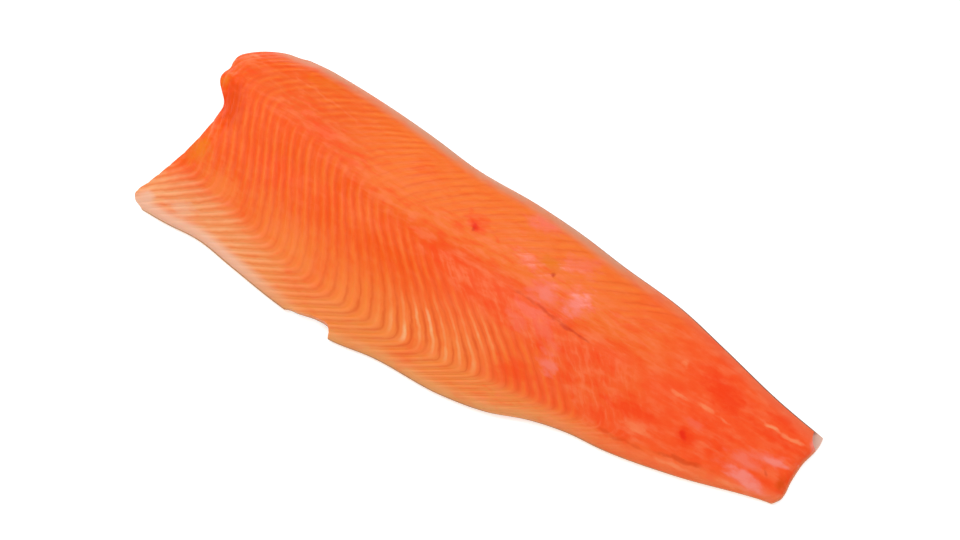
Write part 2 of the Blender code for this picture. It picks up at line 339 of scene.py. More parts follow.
def knifeMesh(name, line, farCorners, slant=0.0, height=0.06):
    corners = [tuple(point) for point in line] + list(farCorners)
    solid = bmesh.new()
    low = [
        solid.verts.new((x - middleX + slant * height / 2, y - middleY, -height / 2))
        for x, y in corners
    ]
    raised = bmesh.ops.extrude_face_region(solid, geom=[solid.faces.new(low)])["geom"]
    top = [item for item in raised if isinstance(item, bmesh.types.BMVert)]
    bmesh.ops.translate(solid, verts=top, vec=(-slant * height, 0, height))
    bmesh.ops.recalc_face_normals(solid, faces=solid.faces)
    mesh = bpy.data.meshes.new(name)
    solid.to_mesh(mesh)
    solid.free()
    return addObject(name, mesh)


def applied(piece):  # the piece's mesh with its modifiers in it
    bpy.context.view_layer.update()
    graph = bpy.context.evaluated_depsgraph_get()
    mesh = bpy.data.meshes.new_from_object(piece.evaluated_get(graph))
    old = piece.data
    piece.modifiers.clear()
    piece.data = mesh
    mesh.name = piece.name
    bpy.data.meshes.remove(old)
    return piece


def cutWith(piece, knives):
    for knife in knives:
        cut = piece.modifiers.new(knife.name, "BOOLEAN")
        cut.operation = "DIFFERENCE"
        cut.solver = "MANIFOLD"
        cut.object = knife
    return applied(piece)


def pointsOf(mesh):
    places = np.empty(len(mesh.vertices) * 3, np.float32)
    mesh.vertices.foreach_get("co", places)
    return places.reshape(-1, 3).astype(float)


def writeFields(mesh, fields):
    for name, values in fields.items():
        mesh.attributes.new(name, "FLOAT", "POINT")
        mesh.attributes[name].data.foreach_set("value", np.asarray(values, np.float32))


# The flesh

fleshShape = {
    "backInset": 0.0009,  # the flesh ends this far inside the skin's edge
    "bellyInset": 0.0005,
    "bottom": 0.001,
    "rimInsets": (0.0, 0.0008, 0.0018, 0.0032, 0.005),
    "backWall": (30, 60, 90),  # degrees of the rows down the side walls
    "bellyWall": (90, 45),
    "tipCut": (  # at the tip of the tail the flesh stops short of the skin
        (0.5475, 0.045), (0.55, 0.03), (0.5525, 0.0225), (0.558, 0.018), (0.57, 0.0165),
    ),
    "topFade": 0.0008,  # depth over which a cut face takes over from the top
}
reliefShow = {  # how strongly the bands stand out
    "fromBack": (0.004, 0.02),  # rising from each edge
    "fromBelly": (0.0, 0.006),
    "tail": (0.46, 0.14, 0.08),  # where it would end, the length it fades over, the least left
    "middleStrip": (0.011, 0.024),  # centre and width across
    "middleFrom": (0.16, 0.24),
    "smoothing": 0.9,
}
lineShow = {  # how clearly the fat lines show, from 0 to 1
    "plain": 0.37,
    "headFlap": 0.12,  # added on the belly flap near the head
    "headTo": (0.1, 0.2),
    "belly": 0.38,  # added beside the belly bend, where the lines are whitest
    "bellyStrip": (0.013, 0.017),
    "bellyFrom": (0.16, 0.23),
    "bellyTo": (0.295, 0.335),
    "bendFade": 0.45,  # taken off at the belly bend near the head
    "bendStrip": (-0.004, 0.012),
    "bendTo": (0.14, 0.2),
    "flapEdge": (-0.004, 0.006),
    "flapFade": 0.6,  # taken off on the flap towards the tail
    "flapFrom": (0.27, 0.33),
    "napeFade": 0.75,
    "napeTo": (0.02, 0.05),
    "napeAcross": (-0.04, -0.02),
    "turnFade": 0.85,  # where the bands turn towards the back their lines are lost
    "turnStrip": (0.003, 0.013),
    "turnFrom": (0.03, 0.08),
    "smoothFloor": 0.07,  # what is left of them in the smooth middle and at the tail
    "smoothFrom": (0.17, 0.21),
    "smoothEdge": (-0.005, 0.006),
    "smoothBelow": (  # x, y of the smooth middle's lower and upper border
        (0.175, 0.018), (0.205, 0.004), (0.235, -0.006), (0.264, -0.018), (0.304, -0.024),
        (0.334, -0.027), (0.363, -0.035), (0.392, -0.053), (0.42, -0.075), (0.6, -0.075),
    ),
    "smoothAbove": (
        (0.175, 0.018), (0.205, 0.03), (0.255, 0.036), (0.305, 0.037), (0.354, 0.034),
        (0.403, 0.037), (0.43, 0.056), (0.6, 0.073),
    ),
    "backEdge": (0.004, 0.014),  # rising from each edge
    "bellyEdge": (0.001, 0.006),
}


def turnZone(x, aboveBack):
    return bell(aboveBack, *lineShow["turnStrip"]) * smoothStep(x, *lineShow["turnFrom"])


def reliefShare(x, y, fromBelly, fromBack, aboveBack):
    show = reliefShow
    rim = smoothStep(fromBack, *show["fromBack"]) * smoothStep(fromBelly, *show["fromBelly"])
    gone, length, least = show["tail"]
    tail = np.clip((gone - x) / length, least, 1.0)
    middle = bell(y, *show["middleStrip"]) * smoothStep(x, *show["middleFrom"])
    return rim * tail * (1 - show["smoothing"] * np.maximum(middle, turnZone(x, aboveBack)))


def lineShare(x, y, aboveBend, aboveBack):
    show = lineShow

    def after(name):
        return smoothStep(x, *show[name])

    flap = smoothStep(-aboveBend, *show["flapEdge"])
    head = show["headFlap"] * flap * (1 - after("headTo"))
    atBend = bell(aboveBend, *show["bendStrip"]) * (1 - after("bendTo"))
    nearBend = bell(aboveBend, *show["bellyStrip"])
    belly = show["belly"] * nearBend * after("bellyFrom") * (1 - after("bellyTo"))
    low = smoothStep(y - readCurve(show["smoothBelow"], x), *show["smoothEdge"])
    high = smoothStep(readCurve(show["smoothAbove"], x) - y, *show["smoothEdge"])
    smooth = low * high * after("smoothFrom")
    smooth = np.maximum(smooth, show["turnFade"] * turnZone(x, aboveBack))
    nape = 1 - show["napeFade"] * (1 - after("napeTo")) * smoothStep(y, *show["napeAcross"])
    tailFlap = 1 - show["flapFade"] * flap * after("flapFrom")
    plain = show["plain"] * (1 - show["bendFade"] * atBend) * tailFlap
    return (plain + head + belly) * (1 - (1 - show["smoothFloor"]) * smooth) * nape


def fleshRings():
    total = int(bandCounts[-1] * bandShape["columnsPerBand"])
    counts = np.arange(total + 1) / bandShape["columnsPerBand"]
    lines = np.interp(counts, bandCounts, bandPlaces)
    belly = edgeY(lines, sideShape["bellyEdge"], -0.13, 0.0) + fleshShape["bellyInset"]
    back = edgeY(lines, sideShape["backEdge"], 0.0, 0.13) - fleshShape["backInset"]
    low = readCurve(bandShape["bellyBend"], lines)
    high = readCurve(bandShape["backBend"], lines)
    rows = [belly + inset for inset in fleshShape["rimInsets"]]
    rimTop = rows[-1]
    for row in range(1, bandShape["flapRows"] + 1):
        rows.append(rimTop + (low - rimTop) * row / bandShape["flapRows"])
    for row in range(1, bandShape["flankRows"] + 1):
        rows.append(low + (high - low) * row / bandShape["flankRows"])
    for row in range(1, bandShape["backRows"] + 1):
        share = math.sin(0.5 * math.pi * row / bandShape["backRows"]) ** 0.9
        rows.append(high + (back - high) * share)
    y = np.stack(rows, 1)
    x = bandX(lines[:, None], y)
    z = fleshHeight(x, y)
    ring = [np.stack([x, y, z], -1)]
    bottom = fleshShape["bottom"]
    walls = [(back, sideShape["backUndercut"], z[:, -1], turn) for turn in fleshShape["backWall"]]
    walls += [(belly, -sideShape["bellyUndercut"], z[:, 0], turn) for turn in fleshShape["bellyWall"]]
    for edge, undercut, top, turn in walls:
        wallY, wallZ = edgeWall(edge, undercut, bottom, top, math.radians(turn))
        ring.append(np.stack([bandX(lines, wallY), wallY, wallZ], -1)[:, None])
    return toFrame(np.concatenate(ring, 1))


def fleshFields(mesh):
    places = pointsOf(mesh)
    x = places[:, 0] + middleX
    y = places[:, 1] + middleY
    line = bandLineAt(x, y)
    belly, back = edgesAt(x)
    fromBelly = y - belly
    fromBack = back - y
    aboveBend = y - readCurve(bandShape["bellyBend"], line)
    aboveBack = y - readCurve(bandShape["backBend"], line)
    depth = (places[:, 2] - fleshHeight(x, y)) / fleshShape["topFade"]
    onTop = np.clip(depth + 1.5, 0.0, 1.0)
    edges = smoothStep(fromBack, *lineShow["backEdge"]) * smoothStep(fromBelly, *lineShow["bellyEdge"])
    return {
        "band": np.interp(line, bandPlaces, bandCounts),
        "fromBelly": fromBelly,
        "fromBack": fromBack,
        "aboveBellyBend": aboveBend,
        "aboveBackBend": aboveBack,
        "onTop": onTop,
        "reliefShare": reliefShare(x, y, fromBelly, fromBack, aboveBack) * onTop,
        "lineShare": lineShare(x, y, aboveBend, aboveBack) * edges * onTop,
    }


flesh = addObject("salmonFlesh", loftMesh("salmonFlesh", fleshRings()))
print("flesh loft:", len(flesh.data.polygons), "faces")
# each knife is a cut line closed by corners well outside the side
tipLine = smoothLine(fleshShape["tipCut"])
headKnife = knifeMesh("headKnife", headLine, ((-0.3, -0.12), (-0.3, 0.12)))
tailKnife = knifeMesh("tailKnife", tailLine, ((0.8, 0.12), (0.8, -0.12)), sideShape["tailSlant"])
nickKnife = knifeMesh("nickKnife", nickLine, ())
tipKnife = knifeMesh("tipKnife", tipLine, ((0.59, 0.0165), (0.59, 0.06), (0.5475, 0.06)))
cutWith(flesh, [headKnife, tailKnife, nickKnife, tipKnife])
writeFields(flesh.data, fleshFields(flesh.data))
print("flesh cut:", len(flesh.data.polygons), "faces")


# Node helpers, for shaders and geometry alike

def addNode(tree, kind, inputs=(), **settings):
    node = tree.nodes.new(kind)
    for name, value in settings.items():
        setattr(node, name, value)
    for socket, value in dict(inputs).items():
        if isinstance(value, bpy.types.NodeSocket):
            tree.links.new(value, node.inputs[socket])
        else:
            node.inputs[socket].default_value = value
    return node


def calc(tree, operation, *values):
    return addNode(tree, "ShaderNodeMath", dict(enumerate(values)), operation=operation).outputs[0]


def plus(tree, first, second):
    return calc(tree, "ADD", first, second)


def minus(tree, first, second):
    return calc(tree, "SUBTRACT", first, second)


def product(tree, first, *others):
    for other in others:
        first = calc(tree, "MULTIPLY", first, other)
    return first


def vectorCalc(tree, operation, *values):
    return addNode(tree, "ShaderNodeVectorMath", dict(enumerate(values)), operation=operation).outputs[0]


def scaled(tree, vector, factor):
    inputs = {0: vector, "Scale": factor}
    return addNode(tree, "ShaderNodeVectorMath", inputs, operation="SCALE").outputs[0]


def combine(tree, *parts):
    return addNode(tree, "ShaderNodeCombineXYZ", dict(enumerate(parts))).outputs[0]


def ramp(tree, value, low, high, toLow=0.0, toHigh=1.0):  # smooth step between two values
    node = addNode(tree, "ShaderNodeMapRange", {
        "Value": value, "From Min": low, "From Max": high, "To Min": toLow, "To Max": toHigh,
    }, interpolation_type="SMOOTHSTEP")
    return node.outputs["Result"]


def noiseAt(tree, vector, scale, detail, output=0):
    inputs = {"Vector": vector, "Scale": scale, "Detail": detail}
    return addNode(tree, "ShaderNodeTexNoise", inputs).outputs[output]


def stretchedNoise(tree, vector, stretch, detail):
    return noiseAt(tree, vectorCalc(tree, "MULTIPLY", vector, stretch), 1.0, detail)


def newTree(name, inputs, outputs, kind):
    tree = bpy.data.node_groups.new(name, kind)
    for label, socketKind, value in inputs:
        socket = tree.interface.new_socket(label, in_out="INPUT", socket_type=socketKind)
        if value is not None:
            socket.default_value = value
    for label, socketKind in outputs:
        tree.interface.new_socket(label, in_out="OUTPUT", socket_type=socketKind)
    given = tree.nodes.new("NodeGroupInput")
    result = tree.nodes.new("NodeGroupOutput")
    return tree, given.outputs, result.inputs


def geometryTree(name, sizes):  # takes a piece's sizes and its material by name
    kinds = {float: "NodeSocketFloat", int: "NodeSocketInt"}
    inputs = [("Geometry", "NodeSocketGeometry", None)]
    inputs += [(label, kinds[type(value)], value) for label, value in sizes.items()]
    inputs.append(("Material", "NodeSocketMaterial", None))
    return newTree(name, inputs, [("Geometry", "NodeSocketGeometry")], "GeometryNodeTree")


def pointField(tree, name, kind="FLOAT"):
    return addNode(tree, "GeometryNodeInputNamedAttribute", {"Name": name}, data_type=kind).outputs[0]


def finishTree(tree, geometry, material, result):
    real = addNode(tree, "GeometryNodeRealizeInstances", {"Geometry": geometry}).outputs[0]
    painted = addNode(tree, "GeometryNodeSetMaterial", {"Geometry": real, "Material": material})
    tree.links.new(painted.outputs[0], result)


def runTree(piece, tree, sizes, material):
    modifier = piece.modifiers.new(tree.name, "NODES")
    modifier.node_group = tree
    values = {**sizes, "Material": material}
    for item in tree.interface.items_tree:
        if item.in_out == "INPUT" and item.name in values:
            modifier[item.identifier] = values[item.name]
    applied(piece)
    piece.data.shade_smooth()
    piece.data.set_sharp_from_angle(angle=math.radians(50))


# Relief of the bands, fibres and soft unevenness of raw flesh

reliefSizes = {
    "Groove Depth": 0.00017,
    "Groove Width": 0.17,  # share of a band
    "Crown Height": 0.00022,
    "Step Height": 0.0002,
    "Fibre Depth": 0.00005,
    "Lump Height": 0.0008,
    "Lump Scale": 26.0,
    "Seed": 4,
}


def reliefTree():
    tree, given, result = geometryTree("muscleBands", reliefSizes)
    band = pointField(tree, "band")
    place = tree.nodes.new("GeometryNodeInputPosition").outputs[0]
    nearest = calc(tree, "ROUND", band)
    away = calc(tree, "ABSOLUTE", minus(tree, band, nearest))
    groove = ramp(tree, away, 0.0, given["Groove Width"], 1.0, 0.0)
    crown = calc(tree, "SINE", product(tree, away, math.pi))
    chance = addNode(tree, "FunctionNodeRandomValue", {"Seed": given["Seed"]}, data_type="FLOAT")
    tree.links.new(calc(tree, "FLOOR", band), chance.inputs["ID"])
    step = product(tree, minus(tree, chance.outputs[1], 0.5), given["Step Height"], crown)
    bandPart = minus(tree, product(tree, crown, given["Crown Height"]), given["Crown Height"])
    bandPart = minus(tree, bandPart, product(tree, groove, given["Groove Depth"]))
    bandPart = product(tree, plus(tree, bandPart, step), pointField(tree, "reliefShare"))
    fibres = minus(tree, stretchedNoise(tree, place, (120.0, 900.0, 900.0), 1.0), 0.5)
    lumps = minus(tree, minus(tree, noiseAt(tree, place, given["Lump Scale"], 1.5), 0.5), 0.1)
    fibrePart = product(tree, fibres, given["Fibre Depth"])
    freePart = plus(tree, fibrePart, product(tree, lumps, given["Lump Height"]))
    fromBelly = ramp(tree, pointField(tree, "fromBelly"), 0.0, 0.008)
    fromBack = ramp(tree, pointField(tree, "fromBack"), 0.002, 0.012)
    inside = product(tree, fromBelly, fromBack)
    rise = plus(tree, bandPart, product(tree, freePart, pointField(tree, "onTop"), inside))
    offset = scaled(tree, tree.nodes.new("GeometryNodeInputNormal").outputs[0], rise)
    inputs = {"Geometry": given["Geometry"], "Offset": offset}
    moved = addNode(tree, "GeometryNodeSetPosition", inputs)
    finishTree(tree, moved.outputs[0], given["Material"], result[0])
    return tree


def palette(**colours):  # given as they show on screen, 0 to 255
    def linear(value):
        value /= 255
        return value / 12.92 if value <= 0.04045 else ((value + 0.055) / 1.055) ** 2.4
    return {name: (*map(linear, rgb), 1.0) for name, rgb in colours.items()}


fleshColours = palette(
    flank=(246, 88, 4), flankLow=(250, 134, 60), back=(240, 98, 30), backMiddle=(248, 118, 44),
    middle=(251, 93, 40), tail=(255, 88, 34), flap=(242, 139, 68), headFlap=(240, 144, 84),
    fatLine=(255, 136, 50), paleLine=(254, 196, 142), streakLine=(253, 168, 106),
    # the first two colours on the next line are painted shade, darkening the muscle between the fat lines;
    # the first also colours the dark line marks
    deepLine=(216, 64, 6), brownLine=(206, 102, 44), edgeTan=(236, 164, 98),
    # the third colour on the next line is painted shade, laid on the side walls and cut faces
    paleRim=(240, 184, 154), backRim=(218, 147, 114), sideWall=(212, 128, 66), amber=(236, 118, 4),
    # the pink wet colours, at the end of the next line and the start of the one after, are painted sheen:
    # highlights of the wet film painted into the colour
    ruddy=(252, 60, 2), pale=(255, 150, 98), softPale=(255, 130, 82), wet=(254, 117, 90),
    # the last colour on the next line also paints shade on the nape
    wetPale=(253, 142, 128), blood=(238, 34, 6), vein=(200, 46, 18), wedge=(228, 74, 0),
)

# Marks on the flesh by colour, laid in this order. Each one is a long oval: strength, how ragged
# it is, half width in mm, and its two ends in mm from the head end and across.
fleshMarks = {
    "flankLow": (
        (0.6, 0.7, 17, 39, -25, 78, -46),
    ),
    "amber": (
        (0.8, 0.4, 8, 12, 46, 18, 37), (0.85, 0.5, 15, 27, -7, 29, -30),
        (0.35, 0.7, 8, 66, 75, 102, 80), (0.7, 0.8, 9, 307, 39, 321, 38),
    ),
    "paleRim": (
        (0.85, 0.4, 9, 7, -72, 19, -70), (0.45, 0.6, 9, 31, -66, 54, -65),
    ),
    "ruddy": (
        (0.7, 0.5, 15, 18, 48, 34, 10), (0.4, 0.8, 10, 93, 43, 123, 35),
        (0.7, 0.7, 11, 241, 38, 257, 36), (0.5, 0.8, 12, 317, -47, 349, -49),
        (0.6, 1.0, 10, 399, -29, 448, -28), (0.8, 0.7, 15, 453, 30, 504, 9),
        (0.75, 0.7, 9, 462, -23, 476, -29), (0.55, 0.7, 7, 502, 9, 553, 10),
        (0.5, 0.7, 6, 510, 23, 545, 23),
    ),
    # the first mark is painted shade darkening the nape; the last is the wedge at the tail's tip
    "wedge": (
        (0.8, 0.6, 15, 22, 45, 42, 7), (0.3, 0.8, 8, 15, 2, 26, -38),
        (0.9, 0.5, 7, 547, -14, 550, -26),
    ),
    # dark lines, in the colour that also paints the shade between the fat lines
    "deepLine": (
        (0.4, 0.9, 2.2, 400, -55, 452, -49), (0.6, 0.8, 2.6, 448, -48, 502, -37),
    ),
    "pale": (
        (0.5, 0.6, 3.0, 16, 71, 29, 72), (0.2, 1.1, 1.6, 46, 73, 133, 60),
        (0.5, 1.0, 3.2, 436, 25, 444, 23), (0.45, 1.0, 3.4, 442, 0, 455, -1),
        (0.6, 0.9, 3.2, 461, 2, 482, 3), (0.45, 0.8, 2.6, 450, -52, 493, -45),
        (0.45, 0.9, 2.0, 480, 1, 496, 0), (0.95, 0.5, 1.9, 510, 15, 532, 15),
        (0.7, 0.7, 2.6, 528, 15, 552, 15), (0.3, 0.9, 2.2, 501, -42, 543, -35),
        (0.45, 1.0, 8, 422, -40, 442, -38), (0.5, 0.9, 8, 282, 65, 303, 67),
    ),
    # pink gloss patches: painted sheen over a real wet coat; their mask also raises the coat and lowers
    # the roughness
    "wet": (
        (0.55, 1.0, 9, 289, 33, 310, 29), (0.85, 0.7, 11, 280, 64, 309, 67),
        (0.8, 0.8, 17, 312, 19, 332, 11), (0.8, 0.8, 17, 344, 9, 351, 30),
        (0.5, 1.0, 14, 326, 45, 347, 57), (0.7, 0.9, 8, 304, -2, 340, -4),
        (0.55, 1.0, 9, 306, -14, 326, -16), (0.7, 1.0, 7, 342, -24, 363, -39),
        (0.6, 0.9, 9, 320, -5, 356, -20), (0.55, 0.9, 9, 322, 43, 346, 52),
        (0.5, 0.8, 5, 461, -15, 480, -13), (0.8, 0.8, 7, 510, -13, 551, -3),
        (0.95, 0.6, 8, 502, -18, 532, -18), (0.9, 0.6, 10, 496, -28, 547, -33),
    ),
    # whitish-pink spots: painted highlights on the wet patches
    "wetPale": (
        (0.4, 1.1, 10, 318, 16, 328, 12), (0.65, 1.0, 11, 346, 11, 351, 29),
        (0.3, 1.1, 8, 348, -26, 361, -37), (0.75, 0.7, 4.4, 526, -10, 549, -4),
        (0.35, 0.9, 3.5, 508, -27, 522, -30), (0.75, 1.1, 7, 506, -29, 535, -31),
        (0.85, 0.5, 5, 551, 28, 557, 14),
    ),
    "blood": (
        (0.75, 0.6, 4.5, 247, 37, 251, 32), (0.75, 0.6, 3.6, 465, -24, 470, -27),
    ),
    "vein": (
        (0.45, 0.5, 2.0, 249, 33, 249, 29), (0.7, 0.5, 2.4, 319, 32, 322, 31),
        (0.5, 1.0, 2.2, 301, 6, 352, 1), (0.6, 1.0, 2.2, 342, 1, 376, -1),
        (0.35, 0.8, 2.0, 531, -15, 537, -22),
    ),
}


def mixColour(tree, factor, first, second):
    node = tree.nodes.new("ShaderNodeMix")
    node.data_type = "RGBA"
    for socket, value in ((0, factor), (6, first), (7, second)):
        if isinstance(value, bpy.types.NodeSocket):
            tree.links.new(value, node.inputs[socket])
        else:
            node.inputs[socket].default_value = value
    return node.outputs[2]


def newMaterial(name, values):
    material = bpy.data.materials.new(name)
    material.use_nodes = True
    shader = material.node_tree.nodes["Principled BSDF"]
    for socket, value in values.items():
        shader.inputs[socket].default_value = value
    return material, material.node_tree, shader


def surfaceField(tree, name):  # a value stored on the mesh, in a material
    return addNode(tree, "ShaderNodeAttribute", attribute_name=name).outputs["Fac"]


def ovalMask(tree, place, ragged, halfWidth, startX, startY, endX, endY):  # sizes in mm
    length = math.hypot(endX - startX, endY - startY) / 2 + halfWidth / 2
    oval = addNode(tree, "ShaderNodeMapping", {
        "Vector": place,
        "Location": ((startX + endX) / 2000 - middleX, (startY + endY) / 2000 - middleY, 0.0),
        "Rotation": (0.0, 0.0, math.atan2(endY - startY, endX - startX)),
        "Scale": (length / 1000, halfWidth / 1000, 1.0),
    }, vector_type="TEXTURE")
    reach = addNode(tree, "ShaderNodeVectorMath", {0: oval.outputs[0]}, operation="LENGTH")
    return ramp(tree, plus(tree, reach.outputs["Value"], ragged), 0.15, 1.0, 1.0, 0.0)


def filmTree():  # uneven wet film: roughness, and a height for small bumps
    tree, given, result = newTree("wetFilm", [
        ("Place", "NodeSocketVector", None),
        ("Dry Roughness", "NodeSocketFloat", 0.45),
        ("Wet Roughness", "NodeSocketFloat", 0.22),
        ("Wetness", "NodeSocketFloat", 0.0),
        ("Fibre Stretch", "NodeSocketVector", None),
    ], [("Roughness", "NodeSocketFloat"), ("Height", "NodeSocketFloat")], "ShaderNodeTree")
    patches = noiseAt(tree, given["Place"], 30.0, 3.0)
    wet = ramp(tree, plus(tree, patches, given["Wetness"]), 0.42, 0.85)
    gap = minus(tree, given["Wet Roughness"], given["Dry Roughness"])
    tree.links.new(plus(tree, given["Dry Roughness"], product(tree, wet, gap)), result[0])
    fibres = stretchedNoise(tree, given["Place"], given["Fibre Stretch"], 3.0)
    grain = noiseAt(tree, given["Place"], 900.0, 2.0)
    tree.links.new(plus(tree, fibres, product(tree, grain, 0.35)), result[1])
    return tree


filmGroup = filmTree()


def addFilm(tree, shader, values, strength, distance):
    film = addNode(tree, "ShaderNodeGroup", values, node_tree=filmGroup)
    tree.links.new(film.outputs["Roughness"], shader.inputs["Roughness"])
    bump = addNode(tree, "ShaderNodeBump", {
        "Strength": strength, "Distance": distance, "Height": film.outputs["Height"],
    })
    tree.links.new(bump.outputs[0], shader.inputs["Normal"])


fleshLook = {
    "lineWander": 0.4,  # widths and shifts of the fat lines are shares of a band
    "lineWidth": 0.2,
    "ownWidth": 0.2,  # added by noise
    "headFlapWidth": 0.12,
    "streakThinning": 0.12,
    "lineCore": 0.12,  # share of the width that is full
    # the next four set the painted shade between the fat lines: where it starts, extra on the head flap,
    # where it is full, and its strength
    "deepFrom": 0.26,
    "headFlapDeep": 0.1,
    "deepTo": 0.48,
    "deepShare": 0.75,
    # noise from and to, and the shares there
    "ownShow": (0.3, 0.62, 0.25, 1.0),
    "backBreaks": (0.42, 0.6, 0.65, 0.0),
    "brightStreaks": (0.54, 0.72),
    "tonePale": (0.5, 0.75, 0.0, 0.3),
    "toneRed": (0.25, 0.48, 0.35, 0.0),
    "blotchPale": (0.46, 0.7, 0.0, 0.5),
    "blotchRed": (0.3, 0.48, 0.4, 0.0),
    "strokePale": (0.5, 0.68, 0.0, 0.4),
    "strokeRed": (0.34, 0.48, 0.3, 0.0),
    "edgeBreaks": (0.3, 0.62, 0.55, 1.0),
    "smeared": (0.05, 0.38, 1.0, 0.3),  # by how clearly the fat lines show
    "blotchStretch": (75.0, 150.0, 150.0),
    "strokeStretch": (38.0, 210.0, 210.0),
    "tatterStretch": (110.0, 210.0, 210.0),
    "markWander": 0.006,  # metres
    "edgeTone": (0.018, 0.045),
    "edgeTanShare": 0.75,
    "bellyRimShare": 0.9,
    # how strongly painted shade darkens the walls and cut faces
    "wallShare": 0.8,
    "coat": 0.04,
    "wetCoat": 0.6,
    "film": {"Dry Roughness": 0.46, "Wet Roughness": 0.24, "Fibre Stretch": (160.0, 1100.0, 1100.0)},
    "bump": (0.35, 0.0004),  # strength, distance
    "shader": {
        "Specular IOR Level": 0.12,
        "Subsurface Weight": 0.1,
        "Subsurface Radius": (1.0, 0.35, 0.12),
        "Subsurface Scale": 0.004,
        "Coat Roughness": 0.16,
        "Coat IOR": 1.33,
    },
}
fleshStrips = {  # across the fish: metres from a bend or edge, from and to, and the shares there
    "flap": (-0.007, 0.005, 1.0, 0.0),
    "back": (-0.012, 0.006),
    "streaksLow": (-0.003, 0.004),
    "streaksHigh": (0.024, 0.048, 1.0, 0.0),
    "flankLow": (0.0, 0.055, 1.0, 0.0),
    "bandStrokes": (-0.02, -0.008, 1.0, 0.0),
    "edgeTan": (0.001, 0.01, 1.0, 0.0),
    "bellyRim": (0.004, 0.012, 1.0, 0.0),
    "backRim": (0.003, 0.013, 1.0, 0.0),
}
fleshZones = {  # along the fish: metres from the head end, from and to, and the shares there
    "lineFray": (0.15, 0.22, 0.22, 0.09),
    "headFlap": (0.08, 0.2, 1.0, 0.0),
    "streaksFrom": (0.2, 0.25),
    "streaksTo": (0.29, 0.325, 1.0, 0.0),
    "middle": (0.2, 0.3),
    "flankLowFrom": (0.06, 0.14),
    "flankLowTo": (0.28, 0.34, 1.0, 0.0),
    "backMiddle": (0.1, 0.18),
    "tail": (0.34, 0.48),
    "flap": (0.05, 0.16),
    "edgeTone": (0.08, 0.18, 0.25, 1.0),
    "flapTo": (0.34, 0.46, 1.0, 0.25),
    "smearedTo": (0.38, 0.44, 1.0, 0.6),
    "bandStrokesTo": (0.4, 0.46, 1.0, 0.0),
    "edgeTanFrom": (0.06, 0.14),
    "edgeTanTo": (0.32, 0.42, 1.0, 0.1),
    "bellyRimTo": (0.09, 0.17, 1.0, 0.06),
    "backRimTo": (0.34, 0.44, 1.0, 0.25),
}


